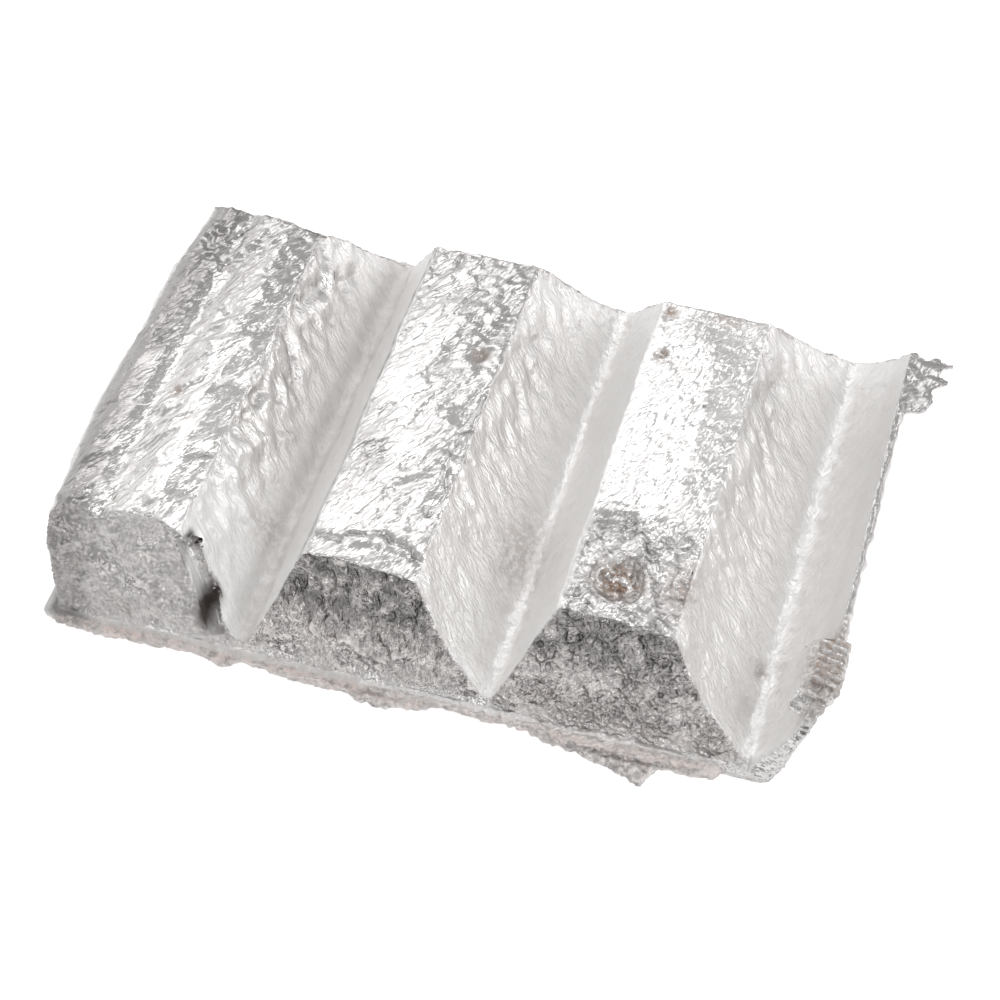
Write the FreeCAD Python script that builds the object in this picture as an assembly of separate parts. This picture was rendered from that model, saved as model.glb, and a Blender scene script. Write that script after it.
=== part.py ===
# Waffle-plate ingot of aluminium master alloy, cast in an open mould and turned out.
#
# One casting, one solid: three heavy bars lie side by side on a thin web, with a
# break groove after each of them. The metal ran on past the third groove and up the
# next wall of the mould, where it froze as a thin skirt with a torn rim.
#
# Millimetres, +Z up. While it is drawn, x = 0 is the middle groove, y = 0 is the
# front end of the bars at the web's level, and z = 0 is the face it lies on. The
# finished solid is then moved so that its origin is the middle of its underside.
import FreeCAD, Part
import math
import os

Vector = FreeCAD.Vector

# ---------------------------------------------------------------- driving sizes
PITCH = 90.0              # from one break groove to the next
WEB = 8.0                 # thickness of the web under the grooves
RISE = 33.0               # from the web's level up to the tops of the bars
LENGTH = 180.5            # the bars' length at the web's level, at the middle groove
FRONT_RUN = 19.0          # how far the front ends lean back over that rise
BACK_RUN = 19.0           # how far the back ends lean forward over that rise
BACK_SKEW = 1.9           # degrees that the back ends stand out of square
LEFT_FLANK = 18.5         # run of the steep, straight flank on each bar's left
RIGHT_FLANK = 27.0        # run of the hollow flank on each bar's right
FLANK_HOLLOW = 3.2        # how deep that flank is hollowed out
CROWN_DIP = 2.6           # how far a bar's top falls from its left to its right
CREST_R = 2.2             # rounding along the bars' top edges
GROOVE_R = 5.0            # rounding at the bottom of a break groove
END_BAR = 79.0            # width of the left end bar, from its groove to its side
SIDE_LEAN = 4.0           # how far the left side swells out above its foot

CROWN_GROOVE = 3.2        # depth of the shrinkage channel along the left end bar
SKIRT_RUN = 20.0          # run of the skirt, from the last groove to its rim
SKIRT_WALL = 4.0          # the skirt's thickness, measured level
SKIRT_HOLLOW = 3.6        # how deep its inner face is hollowed out
SKIRT_AHEAD = 5.0         # how far its front end stands out past the bars' ends
RIM = 2.7                 # the skirt's thickness at its rim

LIP = 7.0                 # how far the lip of frozen metal stands out past the ends
LIP_THICK = 4.0           # thickness of that lip
FIN_THICK = 1.6           # thickness of the flash fins under the front edge
FIN_REACH = 8.0           # how far the longer fin stands out past the lip
BURR_THICK = 1.4          # thickness of the torn burr at the back of the rim
BURR_REACH = 14.8         # how far that burr stands out past the rim

LUG_WIDTH = 14.0          # the broken lug on the rim's front end, level across it
LUG_LENGTH = 26.0         # the lug's length along the rim
LUG_DEPTH = 9.0           # the lug's thickness below the rim's top

CLEFT_DEPTH = 7.0         # how far the open fold beside the left bar's end goes in
CLEFT_WIDTH = 4.5         # how wide that fold gapes
PIT_RADIUS = 9.0          # the shrinkage pit in the third bar's top, seen from above
PIT_DEPTH = 2.6           # depth of that pit

# ------------------------------------------------------------- worked-out levels
TOP = WEB + RISE
GROOVES = (-PITCH, 0.0, PITCH)
FRONT_SLOPE = FRONT_RUN / RISE
BACK_SLOPE = BACK_RUN / RISE
SKEW_SLOPE = math.tan(math.radians(BACK_SKEW))
LEFT_SIDE = GROOVES[0] - END_BAR
GROOVE_FLAT = 2.0         # half the width of a groove's flat bottom
BEYOND = 40.0             # how far a cutting tool reaches past what it cuts


def front_y(z):
    """Where the bars' front ends stand at the height z."""
    return (z - WEB) * FRONT_SLOPE


def back_y(x, z):
    """Where the bars' back ends stand at x and the height z."""
    return LENGTH - x * SKEW_SLOPE - (z - WEB) * BACK_SLOPE


def rounded_outline(corners, place):
    """A closed face from (a, b, radius) corners, each rounded by a tangent arc.

    place turns the two numbers of a corner into a point in space."""
    points = [place(a, b) for a, b, _ in corners]
    count = len(corners)
    starts, middles, ends = [], [], []
    for i in range(count):
        corner = points[i]
        to_last = (points[i - 1] - corner)
        to_next = (points[(i + 1) % count] - corner)
        room = 0.48 * min(to_last.Length, to_next.Length)
        to_last.normalize()
        to_next.normalize()
        half = to_last.getAngle(to_next) / 2
        radius = min(corners[i][2], room * math.tan(half))
        if radius < 0.05 or half > math.radians(89.5):
            starts.append(corner)
            middles.append(None)
            ends.append(corner)
            continue
        reach = radius / math.tan(half)
        inward = to_last + to_next
        inward.normalize()
        centre = corner + inward * (radius / math.sin(half))
        starts.append(corner + to_last * reach)
        middles.append(centre - inward * radius)
        ends.append(corner + to_next * reach)
    edges = []
    for i in range(count):
        if middles[i] is not None:
            edges.append(Part.Arc(starts[i], middles[i], ends[i]).toShape())
        after = starts[(i + 1) % count]
        if (after - ends[i]).Length > 1e-6:
            edges.append(Part.LineSegment(ends[i], after).toShape())
    return Part.Face(Part.Wire(edges))


def section_plane(y):
    return lambda x, z: Vector(x, y, z)


def level_plane(z):
    return lambda x, y: Vector(x, y, z)


# ------------------------------------------------------------------ the section
def right_flank(crest_x, foot_x, crest_z):
    """The hollow flank from a bar's crest down to the groove on its right."""
    middle_x = (crest_x + foot_x) / 2 - 0.77 * FLANK_HOLLOW
    middle_z = (crest_z + WEB) / 2 - 0.64 * FLANK_HOLLOW
    return [(middle_x, middle_z, 60.0)]


def groove(x):
    """The rounded bottom of a break groove."""
    return [(x - GROOVE_FLAT, WEB - 0.4, GROOVE_R), (x + GROOVE_FLAT, WEB, GROOVE_R)]


def full_bar(left_groove, right_groove):
    """Top of a bar between two grooves, from its left crest to its right foot."""
    left_crest = left_groove + GROOVE_FLAT + LEFT_FLANK
    right_crest = right_groove - GROOVE_FLAT - RIGHT_FLANK
    high_x = left_crest + 0.3 * (right_crest - left_crest)
    high_z = TOP + 0.6 * CROWN_DIP
    low_z = TOP - 0.4 * CROWN_DIP
    return ([(left_crest, TOP + 0.2 * CROWN_DIP, CREST_R),
             (high_x, high_z, 60.0),
             (right_crest, low_z, CREST_R)]
            + right_flank(right_crest, right_groove - GROOVE_FLAT, low_z))


def end_bar(right_groove):
    """The left end bar: a swollen side, a channel in its crown, a broad crest."""
    side = LEFT_SIDE
    crest = right_groove - 0.46 * END_BAR
    channel = right_groove - 0.71 * END_BAR
    shoulder = right_groove - GROOVE_FLAT - 0.8 * RIGHT_FLANK
    return ([(side + SIDE_LEAN, 0.0, 0.0),
             (side + SIDE_LEAN, 0.17 * TOP, 4.0),
             (side, 0.62 * TOP, 14.0),
             (side + 2.0, 0.9 * TOP, 5.0),
             (side + 10.0, TOP, 7.0),
             (channel - 5.0, TOP - 0.2 * CROWN_GROOVE, 5.0),
             (channel, TOP - CROWN_GROOVE, 6.0),
             (channel + 8.0, TOP - 0.2 * CROWN_GROOVE, 8.0),
             (crest, TOP + 0.6 * CROWN_DIP, 10.0),
             (shoulder, TOP - CROWN_DIP, 7.0)]
            + right_flank(shoulder, right_groove - GROOVE_FLAT, TOP - CROWN_DIP))


def skirt(left_groove):
    """The skirt's inner face, rim and underside, down to the face it lies on."""
    foot = left_groove + GROOVE_FLAT
    rim = foot + SKIRT_RUN
    middle_x = foot + 0.5 * SKIRT_RUN + 0.77 * SKIRT_HOLLOW
    middle_z = WEB + 0.5 * RISE - 0.64 * SKIRT_HOLLOW
    return [(middle_x, middle_z, 45.0),
            (rim, TOP, 0.8),
            (rim + RIM - 0.5, TOP - 0.5, 0.8),
            (rim + RIM, TOP - 2.6, 1.5),
            (middle_x + SKIRT_WALL, middle_z + 1.0, 30.0),
            (foot + 0.5 * SKIRT_RUN, 0.14 * TOP, 14.0),
            (foot + 0.28 * SKIRT_RUN, 0.0, 2.0)]


def before_front(ahead):
    """What is cut away in front of the leaning ends, moved forward by ahead."""
    low, high = -BEYOND, TOP + BEYOND
    x0 = LEFT_SIDE - BEYOND
    width = GROOVES[-1] + SKIRT_RUN + 2 * BEYOND - x0
    corners = [Vector(x0, front_y(low) - ahead, low), Vector(x0, front_y(high) - ahead, high),
               Vector(x0, -4 * BEYOND, high), Vector(x0, -4 * BEYOND, low)]
    side = Part.makePolygon(corners + corners[:1])
    return Part.Face(side).extrude(Vector(width, 0, 0))


def behind_back():
    """What is cut away behind the leaning, slightly skewed back ends."""
    low, high = -BEYOND, TOP + BEYOND
    x0 = LEFT_SIDE - BEYOND
    width = GROOVES[-1] + SKIRT_RUN + 2 * BEYOND - x0
    far = LENGTH + 4 * BEYOND
    corners = [Vector(x0, back_y(x0, low), low), Vector(x0, back_y(x0, high), high),
               Vector(x0, far, high), Vector(x0, far, low)]
    side = Part.makePolygon(corners + corners[:1])
    return Part.Face(side).extrude(Vector(width, -width * SKEW_SLOPE, 0))


def make_bars():
    """All bars and the skirt in one run of metal, with drafted ends."""
    corners = end_bar(GROOVES[0]) + groove(GROOVES[0])
    for left, right in zip(GROOVES, GROOVES[1:]):
        corners += full_bar(left, right) + groove(right)
    corners += skirt(GROOVES[-1])
    face = rounded_outline(corners, section_plane(-BEYOND))
    run = face.extrude(Vector(0, LENGTH + 2 * BEYOND, 0))
    return run.cut([before_front(0.0), behind_back()])


def make_skirt_end():
    """The skirt's thin front end, which stands out past the bars' ends."""
    foot = GROOVES[-1] + GROOVE_FLAT
    corners = [(foot, 0.45 * WEB, 0.0), (foot, WEB, 0.0)] + skirt(GROOVES[-1])[:5]
    corners += [(foot + 0.42 * SKIRT_RUN, 0.2 * TOP, 8.0), (foot + 0.25 * SKIRT_RUN, 0.1 * TOP, 2.0)]
    face = rounded_outline(corners, section_plane(front_y(0) - BEYOND))
    ahead = face.extrude(Vector(0, BEYOND + front_y(TOP) + 5.0, 0))
    return ahead.cut(before_front(SKIRT_AHEAD))


# --------------------------------------------------- lip, fins, lug, burr, holes
def make_lip():
    """The plate of frozen metal under the bars, with its uneven edge."""
    foot_front = front_y(0)
    left = LEFT_SIDE + 1.5
    last = GROOVES[-1]
    uneven = [(left, foot_front + 2.5, 3.0),
              (left + 7.0, foot_front - 0.25 * LIP, 8.0),
              (left + 26.0, foot_front - 0.45 * LIP, 12.0),
              (GROOVES[0] - 18.0, foot_front - 0.2 * LIP, 12.0),
              (GROOVES[0] - 5.0, foot_front - 0.62 * LIP, 4.0),
              (GROOVES[0] + 1.0, foot_front - 0.2 * LIP, 4.0),
              (GROOVES[0] + 18.0, foot_front - 0.4 * LIP, 12.0),
              (-0.62 * PITCH, foot_front - 0.5 * LIP, 12.0),
              (-0.18 * PITCH, foot_front - 0.12 * LIP, 5.0),
              (0.06 * PITCH, foot_front - 0.2 * LIP, 8.0),
              (0.3 * PITCH, foot_front - 0.55 * LIP, 12.0),
              (0.7 * PITCH, foot_front - 0.6 * LIP, 12.0),
              (last - 9.0, foot_front - 0.5 * LIP, 3.0),
              (last - 4.5, foot_front + 8.0, 3.0),
              (last + 6.0, foot_front + 8.5, 3.0)]
    edge = [(last + 6.0, -0.25), (0.5 * PITCH, -0.1), (-0.5 * PITCH, -0.2),
            (left + 26.0, 0.1), (left + 3.0, -0.5)]
    back = [(x, back_y(x, 0) + share * LIP, 12.0) for x, share in edge]
    return rounded_outline(uneven + back, level_plane(0)).extrude(Vector(0, 0, LIP_THICK))


def make_fins():
    """Two feathered fins of flash under the front edge."""
    edge = front_y(0)
    tip = edge - 0.6 * LIP - FIN_REACH
    inside = edge + 6.0
    long_fin = [(0.17 * PITCH, inside, 0.0), (0.17 * PITCH, edge - 0.4 * LIP, 2.0),
                (0.47 * PITCH, 0.5 * (edge - 0.4 * LIP + tip), 6.0),
                (0.64 * PITCH, tip, 1.0), (0.69 * PITCH, edge - 0.6 * LIP, 2.0),
                (0.69 * PITCH, inside, 0.0)]
    short_fin = [(-0.55 * PITCH, inside, 0.0), (-0.55 * PITCH, edge - 0.5 * LIP, 2.0),
                 (-0.44 * PITCH, edge - 0.6 * LIP - 0.3 * FIN_REACH, 2.0),
                 (-0.22 * PITCH, edge - 0.3 * LIP, 4.0), (-0.16 * PITCH, inside, 0.0)]
    up = Vector(0, 0, FIN_THICK)
    return [rounded_outline(fin, level_plane(0)).extrude(up) for fin in (long_fin, short_fin)]


def make_lug():
    """The broken lug where the skirt's rim ends at the front."""
    rim = GROOVES[-1] + GROOVE_FLAT + SKIRT_RUN
    right = rim + RIM + 1.6
    left = right - LUG_WIDTH
    start = front_y(TOP - 1.7 * LUG_DEPTH) - SKIRT_AHEAD
    corners = [(left - 2.0, TOP - 1.3 * LUG_DEPTH, 0.5),
               (left + 1.5, TOP - 0.35 * LUG_DEPTH, 1.5),
               (left + 5.0, TOP + 0.2, 1.0),
               (right, TOP - 0.3, 0.8),
               (right, TOP - 0.6 * LUG_DEPTH, 1.0),
               (left + 0.45 * LUG_WIDTH, TOP - 1.7 * LUG_DEPTH, 1.0)]
    lug = rounded_outline(corners, section_plane(start)).extrude(Vector(0, LUG_LENGTH, 0))
    return lug.cut(before_front(0.7 * SKIRT_AHEAD))


def make_burr():
    """The torn burr on the rim's back end: a thin sheet with three fingers."""
    rim = GROOVES[-1] + GROOVE_FLAT + SKIRT_RUN
    back = back_y(rim, TOP)
    out = rim + RIM
    fingers = [(rim - 0.5, back - 28.0, 0.0), (out, back - 26.5, 1.0),
               (out + 0.45 * BURR_REACH, back - 25.0, 1.5),
               (out + 0.62 * BURR_REACH, back - 19.0, 1.5),
               (out + 0.5 * BURR_REACH, back - 13.5, 1.0),
               (out + 0.92 * BURR_REACH, back - 9.5, 0.8),
               (out + 0.6 * BURR_REACH, back - 7.5, 0.8),
               (out + 0.62 * BURR_REACH, back - 4.0, 0.8),
               (out + BURR_REACH, back - 1.0, 0.8),
               (out + 0.5 * BURR_REACH, back - 0.3, 1.0),
               (out, back - 0.6, 0.5), (rim - 0.5, back - 1.5, 0.0)]
    sheet = rounded_outline(fingers, level_plane(TOP - 1.0 - BURR_THICK))
    return sheet.extrude(Vector(0, 0, BURR_THICK))


def make_cleft():
    """The open fold between the left bar's end and the skin of its right flank."""
    crest = GROOVES[0] - 0.34 * END_BAR
    wide = CLEFT_WIDTH
    corners = [(crest, TOP - 4.0, 0.8), (crest + 0.45 * wide + 4.0, TOP - 6.0, 1.0),
               (crest + 0.7 * wide + 9.0, 0.58 * TOP, 2.0),
               (crest + wide + 13.5, 0.36 * TOP, 2.0), (crest + wide + 16.5, 0.2 * TOP, 1.0),
               (crest + 15.0, 0.18 * TOP, 1.0), (crest + 12.0, 0.36 * TOP, 2.0),
               (crest + 7.5, 0.58 * TOP, 2.0), (crest + 3.0, 0.78 * TOP, 1.0)]
    lean = math.hypot(1.0, FRONT_SLOPE)
    inward = Vector(0, 1.0 / lean, -FRONT_SLOPE / lean)
    on_end = rounded_outline(corners, lambda x, z: Vector(x, front_y(z), z) - inward * 5)
    return on_end.extrude(inward * (CLEFT_DEPTH + 5))


def make_pit():
    """The shallow shrinkage pit in the third bar's top, as the cap of a ball."""
    radius = (PIT_RADIUS ** 2 + PIT_DEPTH ** 2) / (2 * PIT_DEPTH)
    top_here = TOP + 0.3 * CROWN_DIP
    return Part.makeSphere(radius, Vector(0.41 * PITCH, front_y(TOP) + 17.5,
                                          top_here - PIT_DEPTH + radius))


def make_ingot():
    body = make_bars().fuse([make_skirt_end(), make_lip(), make_lug(), make_burr()]
                            + make_fins())
    body = body.cut([make_cleft(), make_pit()]).removeSplitter()
    ingot = body.Solids[0]
    box = ingot.optimalBoundingBox(False)
    move = Vector(-box.Center.x, -box.Center.y, -box.ZMin)
    ingot.translate(move)
    return ingot, len(body.Solids), move


ingot, pieces, move = make_ingot()
os.makedirs("parts", exist_ok=True)
ingot.exportStep("parts/ingot.step")
size = ingot.optimalBoundingBox(False)
print("ingot: %d solid, valid %s, %.1f x %.1f x %.1f mm, %.1f cm3, %.2f kg at 2.70"
      % (pieces, ingot.isValid(), size.XLength, size.YLength, size.ZLength,
         ingot.Volume / 1000, ingot.Volume * 2.7e-6))
print("moved by %.3f, %.3f, %.3f mm from where it was drawn" % tuple(move))
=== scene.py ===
# %% [markdown]
# # A cast waffle-plate ingot
#
# The object is one casting of bright aluminium alloy. Three heavy bars lie side by side
# on a thin web. The sides that lay on the mould are satin and finely streaked, the tops
# are folded like cooled skin on milk, and the front ends are dark and rough.
#
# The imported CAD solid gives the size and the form. This lesson skins a copy of it: it is
# cut into small even faces, shaped like a sculptor would, and given a metal finish.

# %% load the frame
import math

import bmesh
import bpy
import numpy as np
from mathutils import Matrix, Vector, noise


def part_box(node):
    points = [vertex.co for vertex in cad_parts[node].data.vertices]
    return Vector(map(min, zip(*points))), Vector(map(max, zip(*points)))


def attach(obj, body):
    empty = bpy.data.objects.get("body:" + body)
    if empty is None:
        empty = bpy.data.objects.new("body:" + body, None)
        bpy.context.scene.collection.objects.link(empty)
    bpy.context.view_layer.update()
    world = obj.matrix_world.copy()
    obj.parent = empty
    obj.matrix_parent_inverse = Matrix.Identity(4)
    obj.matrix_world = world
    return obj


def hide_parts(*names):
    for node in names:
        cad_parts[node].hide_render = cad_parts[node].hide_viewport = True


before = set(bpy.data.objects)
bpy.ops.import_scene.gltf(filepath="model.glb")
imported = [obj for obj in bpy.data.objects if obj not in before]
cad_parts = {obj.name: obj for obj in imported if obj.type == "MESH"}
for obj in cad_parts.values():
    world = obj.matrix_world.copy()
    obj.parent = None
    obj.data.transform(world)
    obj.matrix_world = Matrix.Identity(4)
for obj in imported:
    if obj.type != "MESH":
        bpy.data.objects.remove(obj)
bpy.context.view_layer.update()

bpy.context.scene.view_settings.view_transform = "Standard"
MM = 0.001
low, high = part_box("ingot")
print("ingot box, mm:", [round(c / MM, 1) for c in low], [round(c / MM, 1) for c in high])

# %% [markdown]
# Everything below is placed by the casting's own landmarks. Lengths are in millimetres
# from the front end of the middle groove, because that is where the mould was laid out.
# The three grooves are one pitch apart, and the left side and the burr on the right are
# the ends of the CAD box.

# %% landmarks of the casting
PITCH = 90.0
WEB = 8.0
TOP = 41.0
BURR_TIP = 127.6          # from the middle groove to the tip of the burr
FRONT_TIP = 16.6          # from the bars' front ends to the tip of the longer flash fin
GROOVES = (-PITCH, 0.0, PITCH)
LEFT_CREST = -PITCH - 27.0    # the worn crest along the left bar
PIT = (36.5, 37.0)        # the rusty pit in the third bar's crown
SIDE_PIT = (58.5, 38.0)   # the shallow pit at that bar's right crest
LUG = (111.0, 22.0)       # the broken lug on the skirt's rim
CLEFT_MOUTHS = ((-111.0, 32.0, 3.0, 3.8, 0.9), (-103.5, 14.5, 3.5, 6.0, 1.0))  # x, z, reaches, share
ORIGIN = np.array([high.x / MM - BURR_TIP, low.y / MM + FRONT_TIP, low.z / MM])
print("middle groove's front end, mm from the origin:", ORIGIN.round(2))


def smooth_step(value, start, end):
    """0 before start, 1 past end, and an even slope between them."""
    t = np.clip((value - start) / (end - start), 0.0, 1.0)
    return t * t * (3.0 - 2.0 * t)


# %% [markdown]
# ## The camera
#
# The camera comes first, so that every later step can be looked at from where it
# matters. It stands in front and a little to the right, high up, and leans slightly.

# %% camera
AZIMUTH, ELEVATION, ROLL = (math.radians(a) for a in (21.2, 52.85, -5.29))
LENS, SENSOR = 79.2, 36.0
CAMERA_DISTANCE = 782.4 * MM
back = Vector((math.sin(AZIMUTH) * math.cos(ELEVATION),
               -math.cos(AZIMUTH) * math.cos(ELEVATION), math.sin(ELEVATION)))
level = Vector((0, 0, 1)).cross(back).normalized()
upright = back.cross(level)
right = math.cos(ROLL) * level + math.sin(ROLL) * upright
up = math.cos(ROLL) * upright - math.sin(ROLL) * level
aim = Vector((0.0, 79.41, 21.18)) + Vector(ORIGIN) - 18.15 * right - 2.47 * up
camera = bpy.data.objects.new("camera", bpy.data.cameras.new("camera"))
bpy.context.scene.collection.objects.link(camera)
camera.data.lens = LENS
camera.data.sensor_width = SENSOR
turn = Matrix((right, up, back)).transposed().to_4x4()
camera.matrix_world = Matrix.Translation(aim * MM + back * CAMERA_DISTANCE) @ turn
bpy.context.scene.camera = camera
print("camera at", [round(c, 3) for c in camera.location])

# %% [markdown]
# ## A skin of small faces
#
# The CAD mesh has long thin triangles, which can't be bent into wrinkles. A voxel
# remesh of a merged copy gives an even grid of faces under a millimetre across, and
# keeps every edge where it was to within a fraction of that.

# %% remesh a copy of the casting
VOXEL = 0.8 * MM
FACE_LIMIT = 190000


def merged_copy(node, name):
    """A copy of a CAD node's mesh with its loose triangles joined."""
    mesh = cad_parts[node].data.copy()
    mesh.materials.clear()
    work = bmesh.new()
    work.from_mesh(mesh)
    bmesh.ops.remove_doubles(work, verts=work.verts, dist=0.002 * MM)
    bmesh.ops.recalc_face_normals(work, faces=work.faces)
    work.to_mesh(mesh)
    work.free()
    copy = bpy.data.objects.new(name, mesh)
    bpy.context.scene.collection.objects.link(copy)
    return copy


def apply_modifiers(thing):
    """Makes what the modifiers show the thing's own mesh."""
    shown = thing.evaluated_get(bpy.context.evaluated_depsgraph_get())
    mesh = bpy.data.meshes.new_from_object(shown)
    thing.modifiers.clear()
    thing.data = mesh
    return thing


ingot = merged_copy("ingot", "ingot_skin")
remesh = ingot.modifiers.new("even_faces", "REMESH")
remesh.mode = "VOXEL"
remesh.voxel_size = VOXEL
remesh.use_smooth_shade = True
apply_modifiers(ingot)
print("even skin:", len(ingot.data.vertices), "points")

# %% read points and normals
count = len(ingot.data.vertices)
points = np.zeros(count * 3, np.float32)
normals = np.zeros(count * 3, np.float32)
ingot.data.vertices.foreach_get("co", points)
ingot.data.vertex_normals.foreach_get("vector", normals)
points = points.reshape(-1, 3).astype(float) / MM - ORIGIN
normals = normals.reshape(-1, 3).astype(float)
X, Y, Z = points.T
NX, NY, NZ = normals.T
print("spans, mm:", points.min(0).round(1), points.max(0).round(1))

# %% [markdown]
# ## Tools for sculpting by numbers
#
# Each tool gives one number for every point of the skin. ripples() is soft noise,
# folds() is noise with sharp valleys, like metal skin that wrinkled while it froze,
# and near_line() says how close a point is to a crack drawn on the plan of the plate.

# %% sculpting tools


def ripples(size, seed, stretch=(1.0, 1.0, 1.0), at=None):
    """Soft noise from -1 to 1 whose lumps are about size mm across."""
    where = (points if at is None else at) / (np.array(stretch) * size) + 17.3 * seed
    return np.array([noise.noise(p) for p in where.tolist()])


def folds(size, seed, stretch=(1.0, 1.0, 1.0), at=None):
    """Noise with round backs and sharp valleys, from -1 to 0."""
    first = ripples(size, seed, stretch, at)
    second = ripples(0.55 * size, seed + 5, stretch, at)
    return -np.abs(first + 0.45 * second)


def turned(angle):
    """The points turned about +Z by an angle in degrees, for slanted patterns."""
    c, s = math.cos(math.radians(angle)), math.sin(math.radians(angle))
    return np.column_stack([c * X + s * Y, c * Y - s * X, Z])


def near_line(route, width, wobble=0.0, seed=0):
    """1 on a line drawn on the plan, falling to 0 about width mm away from it."""
    x, y = X, Y
    if wobble:
        x = X + wobble * ripples(7.0, seed)
        y = Y + wobble * ripples(7.0, seed + 3)
    nearest = np.full(len(X), 1e9)
    for (ax, ay), (bx, by) in zip(route, route[1:]):
        dx, dy = bx - ax, by - ay
        t = np.clip(((x - ax) * dx + (y - ay) * dy) / (dx * dx + dy * dy), 0, 1)
        nearest = np.minimum(nearest, np.hypot(x - ax - t * dx, y - ay - t * dy))
    return np.exp(-(nearest / width) ** 2)


def near_spot(x, y, across, along=None, power=2):
    """1 at a spot on the plan, falling to 0 about across mm from it."""
    reach = np.hypot((X - x) / across, (Y - y) / (along or across))
    return np.exp(-reach ** power)


# %% [markdown]
# ## Where is what
#
# The skin has four kinds of ground: the tops, the flanks beside the grooves, the
# sloping ends and the flat underside. Soft masks from the normals tell them apart, so
# that each kind gets its own relief and later its own finish.

# %% masks for the grounds
is_top = smooth_step(NZ, 0.75, 0.92) * smooth_step(Z, 0.72 * TOP, 0.85 * TOP)
is_front = smooth_step(-NY, 0.45, 0.7) * smooth_step(Z, 1.0, 3.0)
is_back = smooth_step(NY, 0.4, 0.65) * smooth_step(Z, 1.0, 3.0)
is_under = smooth_step(-NZ, 0.2, 0.6)
above = smooth_step(Z, 0.6, 3.0) * (1 - is_under)
is_flank = (1 - is_top) * (1 - is_front) * (1 - is_back) * above
on_left_bar = 1 - smooth_step(X, -PITCH - 3, -PITCH + 1)
on_middle_bar = smooth_step(X, -PITCH - 1, -PITCH + 3) * (1 - smooth_step(X, -4.0, 1.0))
on_third_bar = smooth_step(X, -1.0, 4.0) * (1 - smooth_step(X, PITCH - 4, PITCH + 1))
on_skirt = smooth_step(X, PITCH - 1, PITCH + 4)
faces_right = smooth_step(NX, 0.15, 0.5)
faces_left = smooth_step(-NX, 0.15, 0.5)
print("tops %.0f%%, ends %.0f%%" % (100 * is_top.mean(), 100 * (is_front + is_back).mean()))

# %% [markdown]
# ## Relief
#
# First come slow swells that take the ruler-straight edges away, then the folds of each
# kind of ground. Everything finer than about two millimetres is left to the material.

# %% broad swells
height = 1.0 * ripples(48.0, 1) + 0.7 * ripples(19.0, 2)
calmer = (1 - 0.5 * is_front) * (1 - 0.6 * on_skirt) * (1 - 0.7 * is_top * on_third_bar)
height *= above * calmer

# %% tops: folded skin
FOLD_LIE = 58.0           # the folds lie slanted across the bars
slant = turned(FOLD_LIE)
towards_back = smooth_step(Y, 80.0, 140.0)
crown = (2.0 * folds(8.0, 3, (2.1, 0.8, 1.5), slant) + 0.9) * (1 - 0.6 * towards_back)
crown += 0.5 * ripples(4.6, 4, (2.0, 0.8, 1.5), slant) + 0.6 * ripples(22.0, 14)
crown += 0.9 * towards_back * ripples(3.6, 19)
calm = smooth_step(ripples(30.0, 6), -0.35, 0.3)
crown *= (0.45 + 0.75 * calm) * (1 - 0.9 * on_third_bar)
crown += 0.34 * on_third_bar * folds(2.6, 39, (1.8, 0.75, 1.0), turned(12.0))
CROWN_FILL = 1.3          # the third bar's crown is fuller in its middle
behind_chip = smooth_step(Y, 60.0, 80.0) * (1 - smooth_step(Y, 135.0, 155.0))
crown += CROWN_FILL * on_third_bar * np.exp(-((X - 41.0) / 15.0) ** 2) * behind_chip
height += crown * is_top
CREST_DROP = 2.0
worn = smooth_step(Z, 24.0, 36.0) * np.exp(-((X - LEFT_CREST) / 12.0) ** 2)
height -= CREST_DROP * above * on_left_bar * worn
height += 0.9 * is_top * on_left_bar * ripples(11.0, 36, (0.7, 2.6, 1.0), turned(-20.0))

# %% flanks: shallow scallops that run down to the grooves
groove_x = np.where(X < -PITCH / 2, GROOVES[0], np.where(X < PITCH / 2, GROOVES[1], GROOVES[2]))
FEATHER = math.radians(50.0)
reach = np.abs(X - groove_x)
across = Y * math.cos(FEATHER) - reach * math.sin(FEATHER)
along = Y * math.sin(FEATHER) + reach * math.cos(FEATHER)
feather = np.column_stack([across, along, Z])
scallops = 0.45 * ripples(5.0, 7, (0.7, 1.6, 2.0), feather)
scallops += 0.45 * ripples(2.8, 8, (0.8, 1.7, 2.0), feather)
lumps = ripples(5.5, 15, (0.8, 1.6, 1.5), feather) + 0.8 * folds(7.0, 16, (0.8, 1.7, 1.5), feather)
rough_upper = smooth_step(Z, 9.0, 30.0) * faces_right
rough_upper *= (0.55 + 0.45 * on_left_bar) * (0.55 + 0.45 * smooth_step(Y, 20.0, 90.0))
bottom = is_flank * (1 - smooth_step(Z, 10.0, 14.0))
scaly = is_flank * rough_upper
height += is_flank * 0.8 * scallops + 2.1 * lumps * scaly
height += bottom * (1 - 0.7 * on_left_bar) * (0.2 + 0.6 * ripples(7.0, 17) + 0.6 * ripples(3.2, 18))

# %% ends: rough freezing front
streaks = ripples(5.0, 9, (0.7, 1.0, 2.6)) + 0.6 * ripples(2.8, 10, (0.7, 1.0, 1.8))
grit = ripples(3.2, 11) + 0.7 * ripples(1.8, 12)
dents = folds(11.0, 13, (0.8, 1.0, 1.5)) + 0.45
SLIP = 0.35               # how far the slipped folds lean to the left as they rise
slipped = folds(4.2, 40, (0.75, 1.0, 2.2), np.column_stack([X + SLIP * Z, Y, Z]))
end_relief = on_left_bar * (0.5 * streaks + 1.6 * dents + 0.25 * grit)
end_relief += on_middle_bar * (1.4 * streaks + 1.2 * dents + 2.6 * slipped) * smooth_step(Z, 9.0, 20.0)
end_relief += on_third_bar * (1.5 * grit + 0.8 * dents) * (0.3 + 0.7 * smooth_step(Z, 6.0, 13.0))
height += end_relief * is_front + 0.6 * (streaks + dents) * is_back

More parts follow.
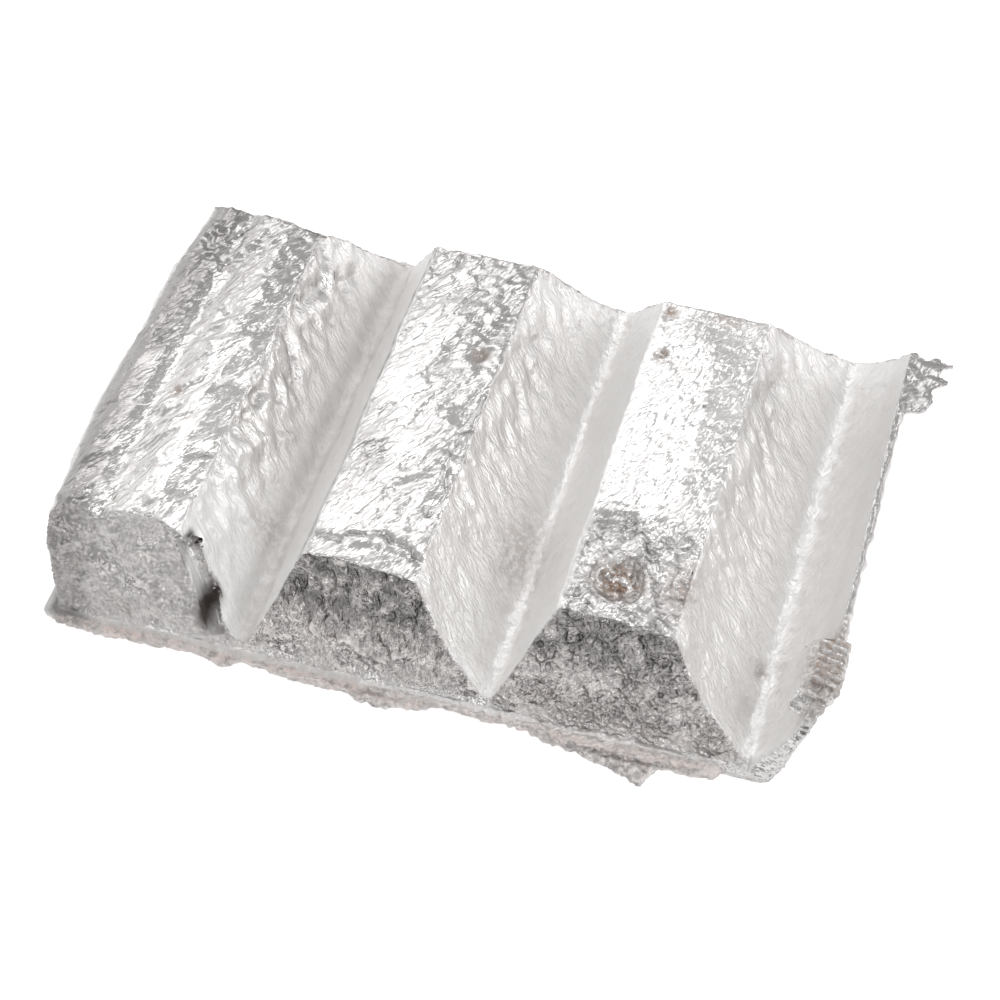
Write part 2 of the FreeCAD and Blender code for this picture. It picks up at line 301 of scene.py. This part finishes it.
# %% [markdown]
# ## What happened to this one
#
# A casting has a history: a ledge where the second pour stopped, a crack, a chipped
# corner, shrinkage pits, a swirl where the stream folded over. Each is a line or a spot
# on the plan of the plate, pressed in or raised, and some are marked for colour too.

# %% the ledge near the middle bar's front
ledge = near_line([(-62, 28), (-54, 31), (-46, 34), (-38, 31), (-31, 27)], 0.8, 2.8, 21)
ledge *= 0.35 + 0.65 * smooth_step(ripples(4.0, 35), -0.3, 0.1)
before_ledge = on_middle_bar * smooth_step(29.0 + 2.0 * ripples(9.0, 22) - Y, -1.5, 2.0)
height += is_top * (-1.5 * ledge - 1.3 * before_ledge)
side_tear = near_line([(-29, 100), (-33, 82), (-34, 70), (-31, 58), (-34, 46)], 1.1, 2.4, 34)
height -= is_top * on_middle_bar * 1.5 * side_tear

# %% the chipped zone at the third bar's front
chip_edge = 63.0 + 0.12 * (X - 20) + 5.0 * ripples(14.0, 23)
chipped = on_third_bar * smooth_step(chip_edge - Y, -3.0, 8.0) * is_top
height += chipped * (-1.1 + 2.0 * folds(6.0, 24) + 0.6 * grit + 1.0 * ripples(12.0, 25))
seam = near_line([(41, 68), (38, 60), (41, 52), (45, 40), (50, 29), (56, 21)], 1.8, 1.2, 26)
height += is_top * on_third_bar * 2.0 * seam
flakes = near_spot(30.0, 60.0, 9.0, 7.0) * is_top
height += flakes * 2.2 * folds(6.0, 27, (2.0, 0.7, 1.0), turned(20.0))
pit = near_spot(*PIT, 8.5, 8.0, 4) * is_top
height += pit * (-0.9 + 1.6 * folds(4.0, 28))
side_pit = near_spot(*SIDE_PIT, 6.5, 10.0) * is_top
height += side_pit * (-0.8 + 1.2 * folds(4.5, 29))

# %% folds and marks on the left bar
cap_route = [(-165, 23), (-156, 20), (-146, 22), (-136, 19), (-124, 19), (-117, 15)]
cap = near_line(cap_route, 2.0, 1.0, 31)
height += on_left_bar * (1 - is_front) * above * 1.1 * cap
swirl_route = [(-101, 84), (-107, 74), (-110, 62), (-108, 50), (-103, 42), (-97, 41)]
swirl_out = near_line(swirl_route, 2.2, 1.0, 32)
swirl_in = near_line([(-96, 66), (-101, 60), (-102, 52), (-98, 47)], 2.0, 1.0, 33)
height += on_left_bar * is_flank * (1.3 * swirl_out - 0.9 * swirl_in)

# %% small pits
SMALL_PITS = [(-38.0, 120.0, 3.2, 2.0), (26.5, 135.0, 2.2, 2.6), (-139.0, 76.0, 2.0, 0.8),
              (-33.5, 75.0, 4.0, 1.4), (-60.0, 66.0, 6.0, 1.3), (24.5, 155.0, 3.0, 1.4)]
for x, y, wide, deep in SMALL_PITS:
    height -= deep * near_spot(x, y, wide) * above * (0.6 + 0.8 * np.abs(grit))

# %% the cleft's two open mouths and the ribs of the lug
FRONT_LEAN = 0.576        # how far the front ends lean back for each mm of height
MOUTH_DEPTH = 1.8
behind_front = Y - FRONT_LEAN * (Z - WEB)
beside_cleft = above * (1 - smooth_step(behind_front, 7.0, 10.0)) * smooth_step(X, -119.0, -115.0)
mouths = sum(share * np.exp(-((X - x) / wide) ** 2 - ((Z - z) / tall) ** 2)
             for x, z, wide, tall, share in CLEFT_MOUTHS) * beside_cleft
height -= MOUTH_DEPTH * mouths
RIB_STEP, RIB_HEIGHT = 2.8, 0.6
lug = near_spot(*LUG, 8.0, 15.0, 4) * smooth_step(Z, 18.0, 26.0)
height *= 1 - 0.85 * lug
ribs = lug * np.sin(2 * math.pi * (Y + 0.2 * X) / RIB_STEP)
height += RIB_HEIGHT * ribs

print("relief, mm: %.2f to %.2f" % (height.min(), height.max()))

# %% [markdown]
# ## Moving the skin
#
# The relief goes along the normals. Three slow moves follow: the left side is fuller in
# its middle than at its ends, the front lip gets a ragged edge, and the middle bar runs
# back a little further than its neighbours. Nothing may leave the CAD box, so the last
# step keeps the skin inside it.

# %% move the skin
DEEPEST, HIGHEST = -3.5, 2.6
SIDE_DRAWN_IN = 4.5       # how far the left side's ends stand in from its middle
RUN_BACK = 3.0            # how far the middle bar's back end stands out
CLEARANCE = 0.03          # the skin stays this far inside the CAD box
height = np.clip(height, DEEPEST, HIGHEST)
moved = points + normals * height[:, None]
side = 1 - smooth_step(X, -166.0, -140.0)
moved[:, 0] += SIDE_DRAWN_IN * side * above * np.clip((Y - 82.0) / 82.0, -1, 1) ** 2
lip = smooth_step(-Y, 3.5, 6.0) * (1 - smooth_step(Z, 4.6, 6.4))
moved[:, 1] += lip * (2.4 * np.abs(ripples(3.6, 37)) + 1.6 * np.abs(ripples(9.0, 38)))
run_back = on_middle_bar * smooth_step(Y, 135.0, 170.0) * smooth_step(Z, 12.0, 34.0)
moved[:, 1] += RUN_BACK * run_back
box_low = np.array(low) / MM - ORIGIN
box_high = np.array(high) / MM - ORIGIN
moved = np.clip(moved, box_low + CLEARANCE, box_high - CLEARANCE)
ingot.data.vertices.foreach_set("co", ((moved + ORIGIN) * MM).astype(np.float32).ravel())
ingot.data.update()

# %% [markdown]
# The masks travel with the skin as attributes, one number for each point, so that the
# finish below can tell a top from a flank and a stain from clean metal.

# %% stains, cracks darkened with painted shade, and dark ends of oxide skin and painted shade
STAINS = [  # x, y, reach across, reach along, power, strength
    (*PIT, 7.5, 6.5, 3, 0.95), (*SIDE_PIT, 6.0, 9.0, 2, 0.55), (-38.0, 120.0, 3.0, 3.0, 2, 0.75),
    (26.5, 135.0, 2.0, 3.5, 2, 0.8), (-139.0, 76.0, 2.6, 2.6, 2, 0.7), (24.0, 156.0, 3.0, 2.5, 2, 0.8),
    (46.0, 157.0, 9.0, 2.5, 2, 0.6), (87.7, 33.0, 2.0, 3.0, 2, 0.5), (-7.0, 58.0, 9.0, 16.0, 2, 0.28),
    (-97.0, 45.0, 5.0, 9.0, 2, 0.25)]
patchy = 0.45 + 0.9 * smooth_step(ripples(9.0, 41), -0.3, 0.3)
front_part = 1 - smooth_step(Y, 30.0, 75.0)
stain = 0.55 * lug
for x, y, wide, long, power, strength in STAINS:
    stain = stain + strength * near_spot(x, y, wide, long, power)
# The cracks of the ledge, the side tear and the chip are darkened with painted shade. The flakes and a line
# along the left bar's crest are darker too.
chip_cracks = chipped * smooth_step(-folds(7.0, 24), 0.25, 0.0)
crack = np.clip((ledge + 0.45 * side_tear) * on_middle_bar + 0.9 * chip_cracks, 0, 1)
crest_line = np.exp(-((X + PITCH - 19.0) / 1.0) ** 2) * smooth_step(Z, 36.0, 39.0) * (0.5 + 0.5 * patchy)
crack = np.clip(crack + 0.6 * flakes, 0, 1) * is_top + 0.9 * crest_line * (1 - is_front)
# The ends are darker: partly a darker oxide skin, and partly painted shade where they face the dark low
# front of the tent.
oxide_and_painted_shade = is_front * (0.55 * on_left_bar + 1.0 * on_middle_bar + 0.8 * on_third_bar)
oxide_and_painted_shade *= smooth_step(Z, 4.0, 9.0)
fins = lip * smooth_step(-Y, 8.2, 9.6)
oxide_and_painted_shade += 0.5 * is_back + 0.75 * fins
oxide_and_painted_shade += lip * (0.15 + 0.5 * smooth_step(ripples(3.0, 42), -0.1, 0.35))
# Painted shade: the front ends are darker towards the top on the middle and third bars, and evenly darker
# on the left bar.
painted_end_shade = on_middle_bar * (0.15 + 0.75 * smooth_step(Z, 14.0, 30.0))
painted_end_shade += 0.75 * on_third_bar * smooth_step(Z, 18.0, 32.0)
painted_end_shade = is_front * (painted_end_shade + 0.42 * on_left_bar)

# %% painted shade and greyer metal: painted shade on the backs of the crowns, in the hollows of the scales and between the lug's ribs, and greyer metal on the torn rim
to_back = smooth_step(Y, 95.0, 150.0)
# Painted shade: the crowns of the middle and left bars are darker towards the back. The other spots and the
# left side are greyer in tone.
grey_and_painted_shade = on_middle_bar * (0.2 + 0.34 * to_back + 0.55 * near_spot(-61.0, 66.0, 8.0, 14.0))
grey_and_painted_shade += on_left_bar * (0.2 + 0.4 * smooth_step(Y, 85.0, 150.0) - 0.1 * smooth_step(X, -132.0, -122.0)
                       + 0.75 * smooth_step(-X, 144.0, 158.0))
grey_and_painted_shade = grey_and_painted_shade * np.clip(is_top + smooth_step(-X, 140.0, 150.0) * above, 0, 1)
rim = smooth_step(X, PITCH + 15.0, PITCH + 18.0) * smooth_step(NZ, 0.2, 0.6) * smooth_step(Z, 12.0, 16.0)
# Painted shade in the hollows between the lumps of the scales.
between_lumps = smooth_step(-lumps, 0.05, 0.6) * (1 - 0.8 * on_left_bar * front_part)
grey_and_painted_shade += scaly * (0.22 + 0.16 * on_left_bar) * between_lumps
# Painted shadow in the troughs between the lug's ribs. The torn rim is greyer in tone.
grey_and_painted_shade += 0.6 * rim * (1 - lug) + 0.8 * smooth_step(-ribs, 0.2, 0.7)
grey_and_painted_shade += 0.3 * is_flank * near_spot(64.0, 132.0, 12.0, 22.0)
grey_and_painted_shade += 0.2 * is_flank * near_spot(-22.0, 130.0, 10.0, 20.0)
left_back_flank = is_flank * on_left_bar * faces_right * smooth_step(Y, 60.0, 110.0)
grey_and_painted_shade += 0.08 * left_back_flank * smooth_step(Z, 12.0, 20.0)

# %% painted light: painted highlights in the groove beds and on the third bar's crown, and painted light on the left-facing flanks and the flanks near the front
soft_bed = bottom * (X < -PITCH / 2)
bed_share = (X > -PITCH / 2) * (1 - 0.25 * (X < PITCH / 2))
# Painted highlight: white along the groove beds, on the left bar's right flank near the front and on the
# third bar's crown.
painted_highlight = is_flank * np.exp(-((X - groove_x) / 4.5) ** 2) * bed_share
painted_highlight = np.maximum(painted_highlight, 0.9 * is_flank * on_left_bar * faces_right * front_part)
painted_highlight = np.maximum(painted_highlight, 0.6 * is_top * on_third_bar * (1 - chipped))
# Painted light: the left-facing flanks and the right-facing flanks near the front are painted paler. They
# are also less metallic.
painted_light = is_flank * faces_left * (1 - 0.35 * on_skirt) * smooth_step(Z, 8.0, 11.0)
painted_light = np.maximum(painted_light, is_flank * front_part * faces_right * (0.45 + 0.55 * on_left_bar))
painted_light *= 1 - bottom

# %% keep the masks on the skin
ends = is_front + is_back
masks = {
    "top": is_top * (1 + 0.3 * on_third_bar),
    "end": np.clip(ends, 0, 1),
    "flank": is_flank,
    "end_bump": ends * (0.5 - 0.05 * on_left_bar + 1.1 * on_third_bar) * patchy,
    "wavy": 0.6 * is_front * on_middle_bar * patchy,
    "grey_and_painted_shade": np.clip(grey_and_painted_shade, 0, 1),
    "dark": np.clip(oxide_and_painted_shade, 0, 1),
    "painted_end_shade": painted_end_shade,
    "stain": np.clip(stain, 0, 1),
    "crack": crack,
    # Painted shade: the cleft's two mouths are painted near black.
    "painted_hollow_shade": np.clip(1.8 * mouths - 0.2, 0, 0.95),
    "painted_highlight": painted_highlight,
    "painted_light": painted_light,
    "bed": bottom,
    "soft_bed": soft_bed,
    "scaly": scaly,
    "chip": chipped,
    "lip": lip,
    "left_end": is_front * on_left_bar,
    "across": across,
    "along": along,
}
for name, values in masks.items():
    layer = ingot.data.attributes.new(name, "FLOAT", "POINT")
    layer.data.foreach_set("value", np.ascontiguousarray(values, dtype=np.float32))
print("masks:", ", ".join(masks))

# %% thin the skin to the face limit
thin = ingot.modifiers.new("thin", "DECIMATE")
ingot.data.calc_loop_triangles()
thin.ratio = min(1.0, FACE_LIMIT / len(ingot.data.loop_triangles))
apply_modifiers(ingot)
ingot.data.calc_loop_triangles()
ingot.data.shade_smooth()
print("finished skin:", len(ingot.data.loop_triangles), "triangles, masks kept:",
      all(name in ingot.data.attributes for name in masks))

# %% [markdown]
# ## The metal
#
# Clean cast aluminium is almost white, and its look is nearly all reflection, so the
# finish is mostly roughness and fine relief. Three node groups draw the grounds: the
# folded skin of the tops, the feathery streaks of the flanks and the frozen grit of the
# ends. Each gives a height, the last two a shade as well, and the masks mix them.
# The colour also carries painted light and shade, laid on by the masks above.

# %% node helpers


class Graph:
    """A few short words for wiring a node tree."""

    def __init__(self, tree):
        self.tree = tree

    def node(self, kind, settings=None, **inputs):
        made = self.tree.nodes.new(kind)
        for key, value in (settings or {}).items():
            setattr(made, key, value)
        for key, value in inputs.items():
            by_number = key[0] == "i" and key[1:].isdigit()
            self.feed(made.inputs[int(key[1:]) if by_number else key], value)
        return made

    def feed(self, socket, value):
        if isinstance(value, bpy.types.NodeSocket):
            self.tree.links.new(value, socket)
        else:
            socket.default_value = value

    def math(self, operation, a, b=0.0, clamp=False):
        made = self.node("ShaderNodeMath", {"operation": operation, "use_clamp": clamp}, i0=a, i1=b)
        return made.outputs[0]

    def ramp(self, value, start, end, to_start=0.0, to_end=1.0):
        made = self.node("ShaderNodeMapRange", {"interpolation_type": "SMOOTHSTEP"}, i0=value, i1=start,
                         i2=end, i3=to_start, i4=to_end)
        return made.outputs[0]

    def mix(self, factor, a, b):
        made = self.node("ShaderNodeMix", {"data_type": "RGBA"})
        self.feed(made.inputs[0], factor)
        self.feed(made.inputs[6], a)
        self.feed(made.inputs[7], b)
        return made.outputs[2]

    def noise(self, vector, size, detail=3.0, rough=0.55):
        made = self.node("ShaderNodeTexNoise", None, Vector=vector, Scale=1.0 / size, Detail=detail,
                         Roughness=rough)
        return made.outputs[0]

    def attribute(self, name):
        return self.node("ShaderNodeAttribute", {"attribute_name": name}).outputs["Fac"]


def new_group(name, inputs, outputs):
    """An empty node group with named float or vector inputs and float outputs."""
    group = bpy.data.node_groups.new(name, "ShaderNodeTree")
    for label, kind in inputs:
        group.interface.new_socket(label, in_out="INPUT", socket_type=kind)
    for label in outputs:
        group.interface.new_socket(label, in_out="OUTPUT", socket_type="NodeSocketFloat")
    graph = Graph(group)
    return graph, graph.node("NodeGroupInput"), graph.node("NodeGroupOutput")


# %% folded skin, for the tops
skin, skin_in, skin_out = new_group("folded_skin", [("Vector", "NodeSocketVector")], ["Height"])
fold_noise = skin.noise(skin_in.outputs[0], 4.0, 3.0, 0.5)
fold_line = skin.math("ABSOLUTE", skin.math("SUBTRACT", fold_noise, 0.5))
skin_height = skin.ramp(fold_line, 0.0, 0.16)
fine = skin.noise(skin_in.outputs[0], 1.4, 2.0)
skin.feed(skin_out.inputs[0], skin.math("ADD", skin_height, skin.math("MULTIPLY", fine, 0.35)))

# %% feathery streaks, for the flanks
barb, barb_in, barb_out = new_group("feather_streaks", [("Across", "NodeSocketFloat"),
                                                       ("Along", "NodeSocketFloat")], ["Height", "Shade"])
lie = barb.node("ShaderNodeCombineXYZ", None, X=barb_in.outputs[0],
                Y=barb.math("MULTIPLY", barb_in.outputs[1], 0.45))
fine_streak = barb.noise(lie.outputs[0], 1.0, 3.0, 0.55)
broad_streak = barb.noise(lie.outputs[0], 3.4, 2.0)
barb.feed(barb_out.inputs[0], barb.math("ADD", fine_streak, barb.math("MULTIPLY", broad_streak, 0.8)))
barb.feed(barb_out.inputs[1], barb.ramp(broad_streak, 0.3, 0.7))

# %% frozen grit, for the ends
rough, rough_in, rough_out = new_group("frozen_grit", [("Vector", "NodeSocketVector")], ["Height", "Shade"])
facets = rough.node("ShaderNodeTexVoronoi", {"feature": "F1"}, Vector=rough_in.outputs[0], Scale=1 / 1.9)
grain = rough.noise(rough_in.outputs[0], 1.6, 3.0, 0.6)
rough.feed(rough_out.inputs[0], rough.math("ADD", facets.outputs["Distance"], grain))
rough.feed(rough_out.inputs[1], rough.ramp(rough.noise(rough_in.outputs[0], 2.2, 4.0, 0.65), 0.38, 0.62))

# %% the cast metal
metal = bpy.data.materials.new("cast_metal")
metal.use_nodes = True
shader = metal.node_tree.nodes["Principled BSDF"]
cast = Graph(metal.node_tree)


def placed(group, **inputs):
    made = cast.node("ShaderNodeGroup")
    made.node_tree = group.tree
    for key, value in inputs.items():
        cast.feed(made.inputs[key], value)
    return made.outputs


where = cast.node("ShaderNodeTexCoord").outputs["Object"]
in_mm = cast.node("ShaderNodeVectorMath", {"operation": "SCALE"}, i0=where, Scale=1 / MM).outputs[0]
lie_turned = cast.node("ShaderNodeVectorRotate", {"rotation_type": "Z_AXIS"}, Vector=in_mm,
                       Angle=math.radians(-FOLD_LIE))
drawn_out = cast.node("ShaderNodeVectorMath", {"operation": "MULTIPLY"}, i0=lie_turned.outputs[0],
                      i1=(0.42, 1.15, 0.6))
skin_height = placed(skin, Vector=drawn_out.outputs[0])["Height"]
barb_height, barb_shade = placed(barb, Across=cast.attribute("across"), Along=cast.attribute("along"))
grit_height, grit_shade = placed(rough, Vector=in_mm)
upright_lie = cast.node("ShaderNodeVectorMath", {"operation": "MULTIPLY"}, i0=in_mm, i1=(0.8, 0.8, 0.27))
wavy_height, wavy_shade = placed(rough, Vector=upright_lie.outputs[0])

# %% colour of the cast metal, with painted light and shade
BRIGHT = (0.82, 0.808, 0.80, 1)
SATIN = (0.85, 0.835, 0.825, 1)
SATIN_LIGHT = (0.94, 0.925, 0.915, 1)
# The next colour is painted shade on the crowns, scales and lug, and a greyer tone on the rim, some spots
# and the left groove floors.
GREY = (0.38, 0.37, 0.365, 1)
# The next colour is painted light on the flanks.
PAINTED_LIGHT_PALE = (0.93, 0.92, 0.91, 1)
# The next colour is a painted highlight.
PAINTED_HIGHLIGHT_WHITE = (0.97, 0.965, 0.96, 1)
PINKISH = (0.95, 0.87, 0.84, 1)
# The next two colours are the ends' oxide skin. Where they are laid, they also stand in for painted shade.
END_DARK = (0.48, 0.465, 0.46, 1)
END_LIGHT = (0.92, 0.88, 0.865, 1)
# The next colour is painted shade on the front ends.
PAINTED_END_SHADE = (0.20, 0.195, 0.19, 1)
# The next colour is painted shade in the cracks.
CRACK_SHADE = (0.22, 0.215, 0.21, 1)
RUST = (0.12, 0.06, 0.035, 1)
RUST_LIGHT = (0.42, 0.27, 0.18, 1)
# The next colour is painted shade in the cleft's mouths.
PAINTED_HOLLOW_SHADE = (0.05, 0.032, 0.026, 1)


def times(a, b):
    return cast.math("MULTIPLY", a, b)


def patches(size, detail, roughness, start, end, low=0.0):
    """Uneven spots of noise, from low to 1."""
    return cast.ramp(cast.noise(in_mm, size, detail, roughness), start, end, low, 1.0)


end_tone = cast.node("ShaderNodeMix", None, Factor=cast.attribute("wavy"), A=grit_shade, B=wavy_shade)
end_colour = cast.mix(end_tone.outputs[0], END_DARK, END_LIGHT)
# Painted shade on the front ends, in uneven patches.
painted_end_shade_share = times(cast.attribute("painted_end_shade"), patches(5.0, 4.0, 0.65, 0.36, 0.60, 0.25))
end_colour = cast.mix(painted_end_shade_share, end_colour, PAINTED_END_SHADE)
rust_colour = cast.mix(patches(1.3, 4.0, 0.6, 0.4, 0.65), RUST, RUST_LIGHT)
rusty = times(cast.attribute("stain"), patches(2.4, 5.0, 0.7, 0.40, 0.56))
painted_hollow_shade = cast.attribute("painted_hollow_shade")
# Several coats are painted light and shade: the paler flanks, the white beds, the darker crown backs and
# scale hollows, the dark ends in part, the dark cracks and the black cleft mouths.
coats = [
    (cast.attribute("flank"), cast.mix(barb_shade, SATIN, SATIN_LIGHT)),
    (cast.attribute("grey_and_painted_shade"), GREY),
    (cast.attribute("painted_light"), PAINTED_LIGHT_PALE),
    (cast.attribute("painted_highlight"), PAINTED_HIGHLIGHT_WHITE),
    (times(cast.attribute("soft_bed"), 0.14), GREY),
    (times(cast.attribute("lip"), patches(4.0, 4.0, 0.6, 0.40, 0.58, 0.2)), PINKISH),
    (cast.attribute("dark"), end_colour),
    (times(cast.attribute("crack"), 0.7), CRACK_SHADE),
    (rusty, rust_colour),
    (painted_hollow_shade, PAINTED_HOLLOW_SHADE),
]
colour = BRIGHT
for share, coat in coats:
    colour = cast.mix(share, colour, coat)
cast.feed(shader.inputs["Base Color"], colour)
rusty = cast.math("MAXIMUM", rusty, painted_hollow_shade)
dull = cast.math("MAXIMUM", times(rusty, 0.85), times(cast.attribute("painted_light"), 0.6))
cast.feed(shader.inputs["Metallic"], cast.math("SUBTRACT", 1.0, dull))

# %% gloss and fine relief of the cast metal
GLOSS_CHANGES = {"flank": 0.16, "end": -0.06, "bed": 0.04, "lip": 0.2, "soft_bed": 0.28, "left_end": 0.12,
                 "scaly": -0.14}
gloss = cast.ramp(cast.noise(in_mm, 14.0, 4.0), 0.35, 0.65, 0.20, 0.32)
for ground, change in GLOSS_CHANGES.items():
    gloss = cast.math("ADD", gloss, times(cast.attribute(ground), change))
gloss = cast.math("ADD", gloss, times(rusty, 0.5), clamp=True)
cast.feed(shader.inputs["Roughness"], gloss)

TOP_RELIEF, FLANK_RELIEF, WAVY_RELIEF, CHIP_RELIEF, LIP_RELIEF = 0.22, 0.75, 1.7, 0.3, 0.5
wavy_mask = cast.attribute("wavy")
grit_mask = cast.math("SUBTRACT", cast.attribute("end_bump"), wavy_mask)
grit_mask = cast.math("ADD", grit_mask, times(cast.attribute("chip"), CHIP_RELIEF))
grit_mask = cast.math("ADD", grit_mask, times(cast.attribute("lip"), LIP_RELIEF))
relief = times(skin_height, times(cast.attribute("top"), TOP_RELIEF))
for part in (times(barb_height, times(cast.attribute("flank"), FLANK_RELIEF)),
             times(wavy_height, times(wavy_mask, WAVY_RELIEF)), times(grit_height, grit_mask)):
    relief = cast.math("ADD", relief, part)
bump = cast.node("ShaderNodeBump", None, Strength=1.0, Distance=MM, Height=relief)
cast.feed(shader.inputs["Normal"], bump.outputs[0])
ingot.data.materials.clear()
ingot.data.materials.append(metal)
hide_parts("ingot")
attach(ingot, "root")
print("cast_metal has", len(metal.node_tree.nodes), "nodes")

# %% [markdown]
# ## Floor and light
#
# Bright metal shows whatever stands around it. The room is a light tent: pale all
# round, brightest high at the back, where the tops look, and dark low in front, where
# the ends look. The floor shows as white, and keeps a soft shadow.

# %% floor
FLOOR_SIZE = 3.0
floor_mesh = bpy.data.meshes.new("floor")
work = bmesh.new()
bmesh.ops.create_grid(work, x_segments=1, y_segments=1, size=FLOOR_SIZE)
work.to_mesh(floor_mesh)
work.free()
floor = bpy.data.objects.new("floor", floor_mesh)
bpy.context.scene.collection.objects.link(floor)
paper = bpy.data.materials.new("floor_paper")
paper.use_nodes = True
sheet = Graph(paper.node_tree)
paper_shader = paper.node_tree.nodes["Principled BSDF"]
paper_shader.inputs["Base Color"].default_value = (0.62, 0.62, 0.62, 1)
paper_shader.inputs["Roughness"].default_value = 0.9
paper_shader.inputs["Specular IOR Level"].default_value = 0.0
paper_shader.inputs["Emission Color"].default_value = (1, 1, 1, 1)
rays = sheet.node("ShaderNodeLightPath")
seen = sheet.math("MAXIMUM", rays.outputs["Is Camera Ray"],
                  sheet.math("MULTIPLY", rays.outputs["Is Glossy Ray"], 0.6))
sheet.feed(paper_shader.inputs["Emission Strength"], sheet.math("MULTIPLY", seen, 0.72))
floor_mesh.materials.append(paper)

# %% light tent
world = bpy.data.worlds.new("light_tent")
bpy.context.scene.world = world
world.use_nodes = True
tent = Graph(world.node_tree)
view = tent.node("ShaderNodeTexCoord").outputs["Generated"]


def towards(direction, start, end):
    """0 to 1 as the view turns towards a direction, between two cosines."""
    aimed = Vector(direction).normalized()
    dot = tent.node("ShaderNodeVectorMath", {"operation": "DOT_PRODUCT"}, i0=view, i1=aimed)
    return tent.ramp(dot.outputs["Value"], start, end)


TENT, DARK_FRONT, FRONT_LAMP = 0.52, 0.86, 1.2
BRIGHT_WALLS = [  # direction, where it begins and is full, strength
    ((-0.15, 0.44, 0.885), 0.93, 0.993, 0.80), ((0.84, 0.5, 0.2), 0.80, 0.98, 0.66),
    ((-0.82, 0.53, 0.22), 0.72, 0.95, 0.62)]
light = TENT
for direction, start, end, wall in BRIGHT_WALLS:
    light = tent.math("ADD", light, tent.math("MULTIPLY", towards(direction, start, end), wall))
low_front = towards((-0.2, -0.97, 0.1), 0.72, 0.95)
shade = tent.math("SUBTRACT", 1.0, tent.math("MULTIPLY", low_front, DARK_FRONT))
low_lamp = tent.math("MULTIPLY", towards((-0.22, -0.80, 0.55), 0.90, 0.98), FRONT_LAMP)
background = world.node_tree.nodes["Background"]
tent.feed(background.inputs["Color"], (1.0, 0.99, 0.985, 1))
strength = tent.math("ADD", tent.math("MULTIPLY", light, shade), low_lamp)
straight = tent.node("ShaderNodeLightPath").outputs["Is Camera Ray"]
tent.feed(background.inputs["Strength"], tent.math("MAXIMUM", strength, straight))


def softbox(name, place, size, power):
    """A square lamp at a place in metres, turned to the middle of the ingot."""
    lamp = bpy.data.lights.new(name, "AREA")
    lamp.shape = "SQUARE"
    lamp.size = size
    lamp.energy = power
    thing = bpy.data.objects.new(name, lamp)
    thing.location = place
    thing.rotation_euler = Vector(place).to_track_quat("Z", "Y").to_euler()
    bpy.context.scene.collection.objects.link(thing)


softbox("key_softbox", (-0.5, 0.9, 1.4), 0.9, 3.0)
softbox("side_softbox", (1.2, -0.1, 1.0), 0.8, 4.2)
